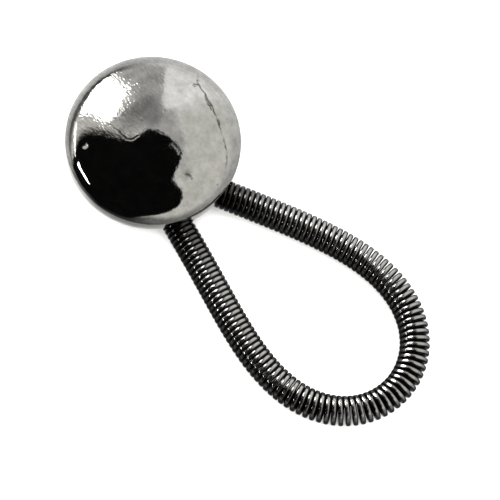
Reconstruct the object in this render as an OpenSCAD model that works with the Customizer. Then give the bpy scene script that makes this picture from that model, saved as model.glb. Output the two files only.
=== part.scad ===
// Collar extender: a domed button with a loop of close-wound wire spring.
// Millimetres. The origin is on the button's axis, in the plane that the part lies on.
// +Z goes up through the dome and +X goes out along the loop.

/* [Button] */
// Outside diameter of the button
button_d = 11.5; // [10.5:0.1:12.5]
// Half height of the ellipse that the dome is the top of
dome_high = 2.6; // [2.2:0.05:3]
// How far the sides of that ellipse would lie outside the side wall
dome_past = 0.2; // [0.1:0.05:0.4]
// How far inside the side wall the dome ends and its rounded edge begins
edge_in = 0.02; // [0.01:0.005:0.04]
// Height of the top of the straight side wall
wall_top = 2.75; // [2.6:0.05:3.2]
// Radius that turns the side wall in under the back
corner_r = 1.8; // [1.4:0.05:2]
// Width of the flat lip that holds the back plate
lip_w = 0.45; // [0.3:0.05:1]
// Thickness of the sheet metal
sheet_t = 0.22; // [0.18:0.01:0.26]

/* [Spring] */
// Outside diameter of the wound coil
coil_d = 2.0; // [1.8:0.05:2.1]
// Diameter of the wire
wire_d = 0.34; // [0.28:0.01:0.34]
// Distance from one turn to the next, along a straight stretch or the inside of a bend
turn_pitch = 0.355; // [0.35:0.005:0.45]

/* [Loop] */
// Distance from the button's axis to the coil's centre at the far end of the loop
reach = 22.6; // [20:0.1:25]
// Offset of the far end to the side
far_side = -0.3; // [-1:0.1:1]
// Tightest bend radius of the coil's centre, at the far end
bend_r = 4.6; // [4.4:0.05:5]
// Length of coil, each way from the far end, over which the bend fades out
bend_len = 10.35; // [10:0.05:10.6]
// How suddenly the bend fades out
bend_power = 2.35; // [2.2:0.05:3]
// Radius of the slight outward bow of the first leg
bow_r = 67; // [60:1:200]
// Length of the first leg, from the far end to its hidden end in the button
first_leg = 22.3; // [20:0.1:25]
// Length of the second leg, from the far end to its hidden end in the button
second_leg = 22.7; // [20:0.1:25]

/* [Fits] */
// Clearance round the coil where it passes through the side wall
hole_gap = 0.08; // [0.05:0.01:0.12]
// Clearance round the coil in the block that holds its ends
grip_gap = 0.03; // [0.02:0.01:0.06]
// Clearance between pieces that rest on each other
seat_gap = 0.02; // [0.01:0.005:0.04]

/* [Resolution] */
// Straight steps in one turn of the wire, not a whole number, so that corners stagger from turn to turn
turn_steps = 9.9; // [7.9:1:9.9]
// Sides of the wire's section
wire_sides = 5; // [4:1:5]

/* [Hidden] */

button_r = button_d / 2;
coil_r = coil_d / 2;
wire_r = wire_d / 2;
wind_r = coil_r - wire_r;

dome_steps = 18;
corner_step = 10;
round_fn = 96;

// The dome ends where its ellipse comes within edge_in of the side wall. From there an arc
// that starts at the same slope turns it down into the wall.
dome_wide = button_r + dome_past;
dome_end = acos((button_r - edge_in) / dome_wide);
edge_slope = atan(dome_high * cos(dome_end) / (dome_wide * sin(dome_end)));
edge_r = edge_in / (1 - sin(edge_slope));
dome_z = wall_top + edge_r * cos(edge_slope) - dome_high * sin(dome_end);
button_h = dome_z + dome_high;

corner_x = button_r - corner_r;
lip_x = corner_x - lip_w;
plate_z = sheet_t + seat_gap;
plate_top = plate_z + sheet_t;
plate_r = corner_x;

block_x0 = 3.0;
block_x1 = 4.2;
block_r = button_r - 1.05;
block_z = plate_top + seat_gap;

// Inside the button the coil lies on the back plate, and its far end lies on the ground.
coil_z_in = plate_top + 2 * seat_gap + coil_r;
coil_z_far = coil_r;
coil_lean = (coil_z_in - coil_z_far) / (reach - block_x0);

// Height of the coil's centre: a straight lean from the button down to the far end.
function coil_z(x) = coil_z_in - coil_lean * (x - block_x0);

// Bend of the coil's centre, as one over its radius, at a length u from the far end.
// It is full at the far end, fades on both sides, and turns into a slight bow on the first leg.
function fade(u) = exp(-pow(abs(u) / bend_len, bend_power));
function bend(u) = fade(u) / bend_r - (u < 0 ? (1 - fade(u)) / bow_r : 0);

// Length of coil that one step of the wire takes up at u: the turns fan open round a bend.
function step_length(u) = turn_pitch / turn_steps / (1 - wind_r * bend(u));

// Turn of the coil's centre, in degrees, over a length du that starts at u.
function turned(u, du) = du * bend(u + du / 2) * 180 / PI;

// Stations along one leg, from the far end into the button: [x, y, heading, number of the step].
function leg(way, length) = [
    for (
        i = 0, u = 0, x = reach, y = far_side, h = 90, du = way * step_length(0);
        abs(u) <= length;
        i = i + way,
        x = x + du * cos(h + turned(u, du / 2)),
        y = y + du * sin(h + turned(u, du / 2)),
        h = h + turned(u, du),
        u = u + du,
        du = way * step_length(u + du / 2)
    )
    [x, y, h, i]
];

first_stations = leg(-1, first_leg);
second_stations = leg(1, second_leg);
route = concat(
    [for (i = [len(first_stations) - 1 : -1 : 1]) first_stations[i]],
    second_stations
);

// Points of an arc in a profile, from angle a to angle b.
function arc(cx, cz, r, a, b, step) =
    let (n = ceil(abs(b - a) / step))
    [for (i = [0 : n]) let (t = a + (b - a) * i / n) [cx + r * cos(t), cz + r * sin(t)]];

// Point of the dome's ellipse, at a depth d inside the outer skin, taken square to it.
function dome_point(t, d) =
    let (n = [cos(t) / dome_wide, sin(t) / dome_high])
    [dome_wide * cos(t), dome_z + dome_high * sin(t)] - d * n / norm(n);

// Profile of the dome, its rounded edge, the side wall and the turned-in back edge, at a
// depth d. The edge is sharp inside, where the depth is more than its radius.
function skin_line(d) = concat(
    [
        for (i = [0 : dome_steps - (d < edge_r ? 1 : 0)])
            let (p = dome_point(90 - (90 - dome_end) * i / dome_steps, d))
            [min(p[0], button_r - d), p[1]]
    ],
    d < edge_r ? arc(button_r - edge_r, wall_top, edge_r - d, 90 - edge_slope, 0, corner_step) : [],
    arc(corner_x, corner_r, corner_r - d, 0, -90, corner_step)
);

module shell_profile() {
    inside = skin_line(sheet_t);
    polygon(concat(
        skin_line(0),
        [[lip_x, 0], [lip_x, sheet_t]],
        [for (i = [len(inside) - 1 : -1 : 0]) inside[i]]
    ));
}

// Room inside the shell, less the clearance, down to the ground.
module cavity() {
    rotate_extrude($fn = round_fn)
        polygon(concat(skin_line(sheet_t + seat_gap), [[0, sheet_t + seat_gap]]));
}

// A round bar along the end of a leg, from inside the block out through the side wall.
module leg_bar(station, way, r) {
    translate([station[0], station[1], coil_z(station[0])])
        rotate([0, 90 + atan(coil_lean), station[2] + (way > 0 ? 0 : 180)])
            translate([0, 0, -1])
                cylinder(r = r, h = 6, $fn = round_fn);
}

module leg_bars(r) {
    leg_bar(route[0], 1, r);
    leg_bar(route[len(route) - 1], -1, r);
}

module front_cap() {
    color("gainsboro")
        difference() {
            rotate_extrude($fn = round_fn) shell_profile();
            leg_bars(coil_r + hole_gap);
        }
}

module back_plate() {
    color("silver")
        translate([0, 0, plate_z])
            cylinder(r = plate_r, h = sheet_t, $fn = round_fn);
}

module end_block() {
    color("goldenrod")
        difference() {
            intersection() {
                translate([block_x0, -button_r, block_z])
                    cube([block_x1 - block_x0, button_d, button_h]);
                cylinder(r = block_r, h = button_h, $fn = round_fn);
                cavity();
            }
            leg_bars(coil_r + grip_gap);
        }
}

// Ring of the wire's section at one station. The wire goes round the coil's centre in a
// right-handed helix, and is at its furthest from the button at the far end of the loop.
function wire_ring(s) =
    let (
        turn = 180 + s[3] * 360 / turn_steps,
        along = [cos(s[2]), sin(s[2]), 0],
        side = [-sin(s[2]), cos(s[2]), 0],
        out = cos(turn) * side + [0, 0, sin(turn)],
        centre = [s[0], s[1], coil_z(s[0])]
    )
    [for (j = [0 : wire_sides - 1])
        let (a = j * 360 / wire_sides)
        centre + out * (wind_r + wire_r * cos(a)) + along * wire_r * sin(a)];

module spring_loop() {
    n = wire_sides;
    last = (len(route) - 1) * n;
    sides = [
        for (i = [0 : len(route) - 2])
            for (j = [0 : n - 1])
                let (a = i * n + j, b = i * n + (j + 1) % n)
                each [[a, b, b + n], [a, b + n, a + n]]
    ];
    ends = [
        [for (j = [n - 1 : -1 : 0]) j],
        [for (j = [0 : n - 1]) last + j]
    ];
    color("dimgray")
        polyhedron(points = [for (s = route) each wire_ring(s)], faces = concat(sides, ends));
}

front_cap();
back_plate();
end_block();
spring_loop();
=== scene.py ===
"""Collar extender: a polished domed button with a loop of close-wound spring wire.

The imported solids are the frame. The dome shell, the back plate and the spring are made again
here with the fine shape that the real ones have, and the hidden block keeps its solid.
Everything is in metres, with the origin on the button's axis, in the plane that it lies on.
"""

import math
from functools import partial

import bpy
import numpy as np
from mathutils import Matrix


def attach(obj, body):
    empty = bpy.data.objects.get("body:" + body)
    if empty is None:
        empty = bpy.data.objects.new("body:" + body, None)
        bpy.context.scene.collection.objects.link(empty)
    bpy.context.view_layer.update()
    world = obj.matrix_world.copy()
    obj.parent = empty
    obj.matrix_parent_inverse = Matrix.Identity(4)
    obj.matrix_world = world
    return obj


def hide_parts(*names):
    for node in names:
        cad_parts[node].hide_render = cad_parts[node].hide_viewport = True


bl_info = {
    "name": "Collar Extender",
    "version": (1, 0, 0),
    "blender": (4, 5, 0),
    "location": "View3D > Sidebar > Collar Extender",
    "description": "Dome button with a loop of close-wound spring wire, and its studio",
    "category": "Add Mesh",
}

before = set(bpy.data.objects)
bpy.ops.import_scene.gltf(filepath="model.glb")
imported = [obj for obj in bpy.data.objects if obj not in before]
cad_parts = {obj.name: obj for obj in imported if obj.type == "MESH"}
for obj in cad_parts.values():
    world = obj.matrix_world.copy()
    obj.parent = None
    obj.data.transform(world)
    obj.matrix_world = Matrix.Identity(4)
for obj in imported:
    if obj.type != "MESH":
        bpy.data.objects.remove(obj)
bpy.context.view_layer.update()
MM = 0.001


# Settings


def linear(code):
    """Linear RGB of an sRGB hex colour such as #D2CFC9."""
    parts = [int(code[i : i + 2], 16) / 255 for i in (1, 3, 5)]
    return tuple(c / 12.92 if c <= 0.04045 else ((c + 0.055) / 1.055) ** 2.4 for c in parts)


def number(name, default, description, **options):
    """A number property."""
    return bpy.props.FloatProperty(name=name, description=description, default=default, **options)


def length(name, mm, description):
    """A length property, given in millimetres and kept in metres."""
    return number(name, mm * MM, description, unit="LENGTH", subtype="DISTANCE", precision=6)


def angle(name, degrees, description):
    """An angle property, given in degrees and kept in radians."""
    return number(name, math.radians(degrees), description, subtype="ANGLE")


def count(name, default, description):
    """A whole number property."""
    return bpy.props.IntProperty(name=name, description=description, default=default)


def colour(name, code, description):
    """A colour property, given as sRGB hex."""
    return bpy.props.FloatVectorProperty(
        name=name, description=description, default=linear(code), subtype="COLOR", min=0, max=1
    )


class ButtonSizes(bpy.types.PropertyGroup):
    """Sizes of the dome shell and the back plate."""

    radius: length("Radius", 5.75, "Outside radius of the button")
    dome_high: length("Dome height", 2.6, "Half height of the dome's ellipse")
    dome_past: length("Dome past wall", 0.2, "How far the dome's ellipse reaches past the wall")
    edge_in: length("Edge inset", 0.02, "How far inside the wall the rounded edge begins")
    wall_top: length("Wall top", 2.75, "Height of the top of the straight side wall")
    corner: length("Back corner", 1.8, "Radius that turns the wall in under the back")
    lip: length("Lip width", 0.45, "Width of the flat lip that holds the back plate")
    sheet: length("Sheet", 0.22, "Thickness of the sheet metal")
    seat: length("Seat gap", 0.02, "Clearance between pieces that rest on each other")
    hole: length("Leg hole radius", 1.08, "Radius of the holes that the spring's legs leave by")
    ripple: length("Ripple depth", 0.006, "Depth of the soft unevenness of the pressed dome")
    ripple_size: length("Ripple size", 2.6, "Distance from one soft hollow to the next")
    crack_depth: length("Crack depth", 0.012, "Depth of the ragged crack in the plating")
    crack_width: length("Crack width", 0.045, "Half width of the ragged crack in the plating")


class SpringSizes(bpy.types.PropertyGroup):
    """Sizes and route of the wound wire."""

    coil: length("Coil radius", 1.0, "Outside radius of the wound coil")
    wire: length("Wire radius", 0.17, "Radius of the wire")
    crown: length("Crest radius", 0.32, "Radius of the worn crest, across the wire")
    crown_half: length("Crest half width", 0.122, "Half the width of the worn crest")
    inset: length("Inset", 0.004, "How far the coil stays inside its solid's box")
    pitch: length("Pitch", 0.355, "Distance from turn to turn, along the inside of a bend")
    reach: length("Reach", 22.6, "Distance from the axis to the coil's centre at the far end")
    far_side: length("Far end offset", -0.3, "Offset of the far end to the side")
    bend: length("Bend radius", 4.6, "Tightest bend radius, at the far end")
    bend_length: length("Bend length", 10.35, "Length each way over which the bend fades out")
    bend_power: number("Bend power", 2.35, "How suddenly the bend fades out")
    bow: length("Bow radius", 67, "Radius of the slight outward bow of the first leg")
    first_leg: length("First leg", 22.3, "Length from the far end to the first end in the button")
    second_leg: length("Second leg", 22.7, "Length from the far end to the other end in the button")
    height_in: length("Height inside", 1.5, "Height of the coil's centre inside the button")
    inner_end: length("Inner end", 3.0, "Distance from the axis at which the coil has that height")
    # Painted shade close to the button: the wire is painted darker there, and the shade fades out
    # from this distance over the next.
    shade_from: length("Film from", 5.75, "Distance from the axis where the film starts to wear")
    shade_length: length("Film length", 5.0, "Distance over which the thick film wears off")
    # Painted light and shade on the coil: its side is painted dark up to the first sine and bright
    # from the second, so its top is lit and its flanks and underside lie in painted shade.
    dark_to: number("Dark flank", 0.25, "Sine of the rise up to which the coil's side stays dark")
    bright_from: number("Bright top", 0.65, "Sine of the rise from which it is rubbed bright")
    turn_steps: count("Steps a turn", 36, "Stations in one turn")
    sides: count("Wire sides", 20, "Points round the wire")


class Finishes(bpy.types.PropertyGroup):
    """Colours of the metals and of the studio."""

    nickel: colour("Nickel plate", "#D5D4D0", "Polished nickel plate, a little warmer than steel")
    nickel_dull: colour("Cloudy nickel", "#B7B6B2", "The same plate where it is a little cloudy")
    # Dark colour of the tarnish spots, also painted along the crack and the hair line as a painted
    # reflection of a dark edge.
    tarnish_and_dark_reflection: colour("Tarnish", "#3A3733", "Dark tarnish in the crack of the plating")
    satin: colour("Satin nickel", "#BDBBB5", "Spun satin nickel of the back plate")
    # Steel shows on the crests where painted light falls. The dark wire colour is the wire's own
    # oxide and also its painted shade on the flanks, between the turns and close to the button.
    steel: colour("Spring steel", "#C4C3C0", "Drawn steel wire, bright where it has rubbed")
    oxide_and_shade: colour("Wire oxide", "#191818", "Dark drawing film left between the turns")
    brass: colour("Brass", "#C8A868", "Machined brass of the hidden block")
    floor: colour("Floor", "#F4F4F3", "Pale card that the part lies on")
    room: colour("Room", "#CFCECA", "Pale room round the studio")


class StudioSettings(bpy.types.PropertyGroup):
    """The camera, as it stands to the part, and the light."""

    aim_x: length("Aim X", 9.438, "Point in the middle of the picture, along the loop")
    aim_y: length("Aim Y", -0.408, "Point in the middle of the picture, across the loop")
    aim_z: length("Aim Z", 1.5, "Point in the middle of the picture, above the floor")
    azimuth: angle("Azimuth", -60.66, "Direction to the camera, from +X")
    elevation: angle("Elevation", 73.2, "Height of the camera over the floor")
    roll: angle("Roll", 16, "Turn of the camera about its own axis")
    distance: length("Distance", 300, "Distance from the camera to the aim point")
    focal: number("Focal length", 331.95, "Focal length in millimetres on a 36 mm sensor")
    tent: length("Card distance", 240, "Distance from the button to the studio's cards")
    ground_from: length("Ground card from", 5.8, "Inner radius of the card on the floor")
    loop_shade: number("Loop shade", 0.6, "How much darker the ground card is inside the loop")
    room_light: number("Room light", 1.25, "Radiance of the room")
    floor_light: number("Floor light", 14.0, "Power of the softbox in watts")
    floor_light_size: length("Floor light size", 1000, "Side of the square softbox")
    floor_light_height: length("Floor light height", 600, "Height of the softbox over the floor")


# Meshes


def soft_step(share):
    """Eases a share from 0 to 1 with 3s^2 - 2s^3."""
    return share * share * (3 - 2 * share)


def grid_quads(rows, columns, closed=True):
    """Quads between rows and columns of points; if closed, the last column joins the first."""
    row, column = np.meshgrid(np.arange(rows - 1), np.arange(columns - 1 + closed), indexing="ij")
    a = row * columns + column
    b = row * columns + (column + 1) % columns
    return np.stack([a, b, b + columns, a + columns], axis=-1).reshape(-1, 4)


def pole_fans(rows, columns, first_pole, last_pole):
    """Triangles that close the first row round one pole and the last row round another."""
    a = np.arange(columns)
    b = (a + 1) % columns
    last = (rows - 1) * columns
    top = np.stack([np.full(columns, first_pole), b, a], axis=-1)
    bottom = np.stack([np.full(columns, last_pole), last + a, last + b], axis=-1)
    return np.concatenate([top, bottom])


def fill_mesh(name, points, quads, triangles=np.zeros((0, 3), int)):
    """A mesh from arrays of points in metres, quads and triangles."""
    mesh = bpy.data.meshes.new(name)
    corners = np.concatenate([quads.ravel(), triangles.ravel()]).astype(np.int32)
    sizes = np.concatenate([np.full(len(quads), 4), np.full(len(triangles), 3)]).astype(np.int32)
    starts = np.concatenate([[0], np.cumsum(sizes)[:-1]]).astype(np.int32)
    mesh.vertices.add(len(points))
    mesh.vertices.foreach_set("co", np.ascontiguousarray(points, np.float32).ravel())
    mesh.loops.add(len(corners))
    mesh.loops.foreach_set("vertex_index", corners)
    mesh.polygons.add(len(sizes))
    mesh.polygons.foreach_set("loop_start", starts)
    mesh.polygons.foreach_set("loop_total", sizes)
    mesh.update(calc_edges=True)
    mesh.validate()
    return mesh


def add_piece(name, mesh, material):
    """An object for a mesh, at the origin, with one material."""
    piece = bpy.data.objects.new(name, mesh)
    bpy.context.scene.collection.objects.link(piece)
    mesh.materials.append(material)
    return piece


def smooth_shading(piece, sharp_from):
    """Smooth faces, with edges sharper than an angle in degrees kept sharp."""
    piece.data.shade_smooth()
    piece.data.set_sharp_from_angle(angle=math.radians(sharp_from))


def keep_attribute(mesh, name, kind, values):
    """Stores one value for each point of a mesh, as a float or a vector."""
    attribute = mesh.attributes.new(name, kind, "POINT")
    flat = np.asarray(values, np.float32).ravel()
    attribute.data.foreach_set("value" if kind == "FLOAT" else "vector", flat)


def revolve(profile, columns, crowd=0.0, towards=0.0):
    """Points of a profile turned round the Z axis.

    The profile is an array of (radius, height) whose first and last points lie on the axis.
    Every other point gives a ring at angles 0 to 360 degrees: x = radius cos, y = radius sin.
    The angle t - crowd x sin(t - towards) lays the columns closer together on one side.
    """
    turn = np.linspace(0, 2 * np.pi, columns, endpoint=False)
    turn = turn - crowd * np.sin(turn - towards)
    radius, height = profile[1:-1].T
    x, y = radius[:, None] * np.cos(turn), radius[:, None] * np.sin(turn)
    rings = np.stack([x, y, np.repeat(height[:, None], columns, axis=1)], axis=-1)
    poles = np.array([[0, 0, profile[0, 1]], [0, 0, profile[-1, 1]]])
    return rings, poles


def close_rings(rings, poles):
    """Points, quads and triangles of a closed surface from its rings and two poles."""
    rows, columns = rings.shape[:2]
    points = np.concatenate([rings.reshape(-1, 3), poles])
    total = rows * columns
    quads = grid_quads(rows, columns)[:, ::-1]
    triangles = pole_fans(rows, columns, total, total + 1)[:, ::-1]
    return points, quads, triangles


def arc(x, z, radius, start, end, steps):
    """Points of an arc in a profile, between two angles in degrees."""
    turn = np.radians(np.linspace(start, end, steps))
    return np.stack([x + radius * np.cos(turn), z + radius * np.sin(turn)], axis=-1)


def sphere_points(distance, turn, rise, height):
    """Points of a sphere round the button, by direction and elevation in radians."""
    flat = np.cos(rise)
    points = np.stack([flat * np.cos(turn), flat * np.sin(turn), np.sin(rise)], axis=-1)
    return distance * points + np.array([0, 0, height])


# Cells on each side of a random field, and where in it the button's axis falls.
FIELD_CELLS, FIELD_X, FIELD_Y = 64, 32.37, 32.61


def smooth_noise(x, y, size, seed):
    """Soft random field from -1 to 1 over the plane.

    Random heights on a square grid of the given size, eased between neighbours with
    3t^2 - 2t^3 in both directions.
    """
    heights = np.random.default_rng(seed).uniform(-1, 1, (FIELD_CELLS, FIELD_CELLS))
    u, v = x / size + FIELD_X, y / size + FIELD_Y
    i, j = np.floor(u).astype(int), np.floor(v).astype(int)
    a, b = soft_step(u - i), soft_step(v - j)
    low = heights[i, j] * (1 - a) + heights[i + 1, j] * a
    high = heights[i, j + 1] * (1 - a) + heights[i + 1, j + 1] * a
    return low * (1 - b) + high * b


def distance_to_path(x, y, path):
    """Distance from points of the plane to the nearest stretch of a path of (x, y) points."""
    nearest = np.full(x.shape, np.inf)
    for (ax, ay), (bx, by) in zip(path[:-1], path[1:]):
        dx, dy = bx - ax, by - ay
        along = np.clip(((x - ax) * dx + (y - ay) * dy) / (dx * dx + dy * dy), 0, 1)
        nearest = np.minimum(nearest, np.hypot(x - ax - along * dx, y - ay - along * dy))
    return nearest


def bell(x, y, centre_x, centre_y, radius):
    """A round bell, exp(-(distance/radius)^2), that is 1 at its centre."""
    return np.exp(-((x - centre_x) ** 2 + (y - centre_y) ** 2) / radius**2)


# The dome shell

# Points from the top of the dome to its edge, how they crowd towards the edge, and points round
# it, how they crowd to one side and which side that is, in degrees: the one with the crack.
DOME_STEPS, DOME_SPREAD = 141, 0.8
DOME_COLUMNS, DOME_CROWD, CROWD_TOWARDS = 500, 0.4, 50
# Points of the shell's small arcs and its wall, its back corner outside and inside, and its
# inner skin.
EDGE_STEPS, EASE_STEPS, WALL_STEPS = 6, 3, 5
OUTER_CORNER_STEPS, INNER_CORNER_STEPS, INNER_STEPS = 18, 6, 9
# Radius that eases the lip's edges, and the width of the band at the dome's edge over which its
# unevenness fades out, in millimetres.
LIP_EASE, CALM_BAND = 0.05, 0.25
# Edges sharper than this many degrees stay sharp.
SHARP_FROM = 35

# Plan of the ragged crack in the plating, in millimetres, with its short branches: a shallow
# groove, painted dark along it as a painted reflection of a dark edge.
CRACK = [
    [
        (-0.96, 5.04), (-0.72, 4.72), (-0.66, 4.62), (-0.34, 4.54), (-0.17, 4.46), (0.31, 4.40),
        (0.83, 4.18), (1.22, 4.12), (1.55, 3.93), (1.88, 3.83), (2.44, 3.49), (2.70, 3.40),
        (3.04, 3.17), (3.33, 3.09), (3.60, 2.91), (4.05, 2.67), (4.20, 2.47), (4.42, 2.31),
        (4.74, 1.90),
    ],
    [(-0.67, 4.34), (-0.52, 4.48), (-0.42, 4.60)],
    [(-0.75, 4.91), (-0.66, 4.66)],
    [(0.31, 4.40), (0.70, 4.07), (1.02, 3.98), (1.22, 4.12)],
    [(0.62, 4.20), (0.98, 4.06), (1.40, 3.86)],
    [(2.10, 3.78), (2.30, 3.70), (2.60, 3.42)],
]

# Plan of a fine hair line in the plating, painted dark as a painted reflection of a dark edge.
HAIR = [
    (-2.45, -1.74), (-2.21, -1.71), (-1.95, -1.70), (-1.76, -1.66), (-1.55, -1.65), (-1.33, -1.68),
    (-1.12, -1.71), (-0.88, -1.67), (-0.68, -1.52), (-0.56, -1.27), (-0.54, -1.02),
]

# How far the crack wanders, the size of its bends and of its swellings, in millimetres, its
# middling and changing share and its least, and the share that the hair line has of it.
WANDER, WANDER_SIZE, SWELL_SIZE = 0.035, 0.22, 0.3
SWELL_MEAN, SWELL_CHANGE, SWELL_LEAST, HAIR_SHARE = 0.65, 0.6, 0.15, 0.45

# The finer ripples on the dome: their height and their number, next to the broad ones.
FINE_SHARE, FINE_TIMES = 0.35, 2.3

# Dark spots, in millimetres: x, y, radius, strength. Those along the hair line and at the fork of
# the crack add to the lines' painted reflection; the others are tarnish.
SPOTS = [
    # In the round dent, and along the hair line.
    (-2.64, -3.63, 0.10, 0.95), (-2.42, -1.73, 0.07, 0.75), (-2.28, -1.72, 0.07, 0.90),
    (-2.14, -1.70, 0.07, 0.80), (-1.97, -1.70, 0.08, 0.90), (-1.55, -1.65, 0.07, 0.80),
    (-1.42, -1.67, 0.08, 0.90), (-1.30, -1.69, 0.09, 0.90), (-1.16, -1.70, 0.09, 0.90),
    (-1.00, -1.69, 0.08, 0.80),
    # The smudge on the side of the loop.
    (3.43, -0.43, 0.12, 0.95), (3.53, -0.37, 0.10, 0.95), (3.65, -0.35, 0.08, 0.90),
    (3.82, -0.39, 0.07, 0.85), (3.35, -0.52, 0.10, 0.70), (3.38, -0.38, 0.30, 0.40),
    (3.22, -0.57, 0.12, 0.30),
    # At the fork of the crack.
    (-0.72, 4.74, 0.08, 0.85), (-0.60, 4.60, 0.07, 0.70), (-0.89, 4.91, 0.05, 0.50),
    (-0.53, 4.25, 0.06, 0.85), (-0.63, 4.24, 0.06, 0.80), (-0.49, 4.40, 0.06, 0.55),
    # Pin-sized spots.
    (5.18, 0.73, 0.06, 0.5), (5.20, 1.84, 0.05, 0.3), (-0.47, 3.74, 0.05, 0.2),
]

# Small dents and pits in the plating, in millimetres: x, y, radius, depth.
DENTS = [
    (3.36, -0.48, 0.20, 0.005), (3.60, -0.42, 0.11, 0.008), (3.95, -0.38, 0.07, 0.006),
    (-2.68, -3.70, 0.20, 0.060), (5.18, 0.73, 0.07, 0.012), (5.20, 1.84, 0.06, 0.008),
    (-1.23, -0.06, 0.08, 0.009), (-0.58, 1.41, 0.07, 0.006), (-0.47, 3.74, 0.06, 0.003),
    (-3.95, 0.95, 0.10, 0.003), (0.35, 2.30, 0.12, 0.0015), (-0.90, 1.35, 0.10, 0.0015),
    (2.60, 1.30, 0.14, 0.0015),
]


def shell_outline(size):
    """Outer skin of the shell, from the top of the dome to the inside of the lip, and its inner
    skin back to the axis, in millimetres.

    The dome is the top of an ellipse: radius = wide cos t, height = centre + high sin t. It ends
    a little inside the wall, where an arc of the same slope turns it down. The straight wall
    and a large arc follow, which turns in under the back to the flat lip.
    """
    radius, high, past = size.radius / MM, size.dome_high / MM, size.dome_past / MM
    inset, top, corner = size.edge_in / MM, size.wall_top / MM, size.corner / MM
    wide = radius + past
    end = math.acos((radius - inset) / wide)
    slope = math.atan(high * math.cos(end) / (wide * math.sin(end)))
    edge = inset / (1 - math.sin(slope))
    centre = top + edge * math.cos(slope) - high * math.sin(end)
    t = np.pi / 2 - (np.pi / 2 - end) * np.linspace(0, 1, DOME_STEPS) ** DOME_SPREAD
    dome = np.stack([wide * np.cos(t), centre + high * np.sin(t)], axis=-1)
    dome[0, 0] = 0
    turn = arc(radius - edge, top, edge, 90 - math.degrees(slope), 0, EDGE_STEPS)
    under = arc(radius - corner, corner, corner, 0, -90, OUTER_CORNER_STEPS)
    down = np.linspace(top, corner, WALL_STEPS)[1:-1]
    wall = np.stack([np.full(len(down), radius), down], axis=-1)
    lip_x, sheet = radius - corner - size.lip / MM, size.sheet / MM
    ease_x = lip_x + LIP_EASE
    lip_under = arc(ease_x, LIP_EASE, LIP_EASE, -90, -180, EASE_STEPS)
    lip_over = arc(ease_x, sheet - LIP_EASE, LIP_EASE, 180, 90, EASE_STEPS)
    t = np.linspace(np.pi / 2, end, INNER_STEPS)
    normal = np.stack([np.cos(t) / wide, np.sin(t) / high], axis=-1)
    normal /= np.linalg.norm(normal, axis=1)[:, None]
    inner = np.stack([wide * np.cos(t), centre + high * np.sin(t)], axis=-1) - sheet * normal
    inner[:, 0] = np.minimum(inner[:, 0], radius - sheet)
    inner[0, 0] = 0
    inner_under = arc(radius - corner, corner, corner - sheet, -90, 0, INNER_CORNER_STEPS)
    stretches = [dome, turn[1:], wall, under, lip_under, lip_over, inner_under, inner[::-1]]
    return np.concatenate(stretches), len(dome)


def crack_share(x, y, size):
    """How much of a point lies in the crack or the hair line, from 0 to 1.

    It is exp(-(distance/width)^2) round a wandering line, and swells and fades along it.
    """
    wander_x = x + WANDER * smooth_noise(x, y, WANDER_SIZE, seed=21)
    wander_y = y + WANDER * smooth_noise(x, y, WANDER_SIZE, seed=22)
    width = size.crack_width / MM
    gap = np.min([distance_to_path(wander_x, wander_y, path) for path in CRACK], axis=0)
    hair = distance_to_path(wander_x, wander_y, HAIR)
    swell = SWELL_MEAN + SWELL_CHANGE * smooth_noise(x, y, SWELL_SIZE, seed=23)
    crack = np.clip(swell, SWELL_LEAST, 1) * np.exp(-((gap / width) ** 2))
    return np.maximum(crack, HAIR_SHARE * np.exp(-((hair / width) ** 2)))


def dark_mark_share(x, y, size):
    """How dark a point is painted, from 0 to 1: the larger of the crack's share, a painted
    reflection of a dark edge, and a spot's own.

    A spot's share is its strength times exp(-(distance/radius)^2).
    """
    share = crack_share(x, y, size)
    for spot_x, spot_y, radius, strength in SPOTS:
        share = np.maximum(share, strength * bell(x, y, spot_x, spot_y, radius))
    return share


def dome_relief(x, y, size):
    """Depth of the small unevenness of the dome's skin, in millimetres, always inwards.

    Soft ripples are two smooth random fields. Each dent is depth times exp(-(distance/radius)^2),
    and the crack its own share of its depth.
    """
    ripple, span = size.ripple / MM, size.ripple_size / MM
    fine = smooth_noise(x, y, span / FINE_TIMES, seed=8)
    field = smooth_noise(x, y, span, seed=3) + FINE_SHARE * fine
    depth = ripple * 0.5 * (1 + field / (1 + FINE_SHARE))
    for dent_x, dent_y, radius, deep in DENTS:
        depth += deep * bell(x, y, dent_x, dent_y, radius)
    return depth + size.crack_depth / MM * crack_share(x, y, size)


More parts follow.
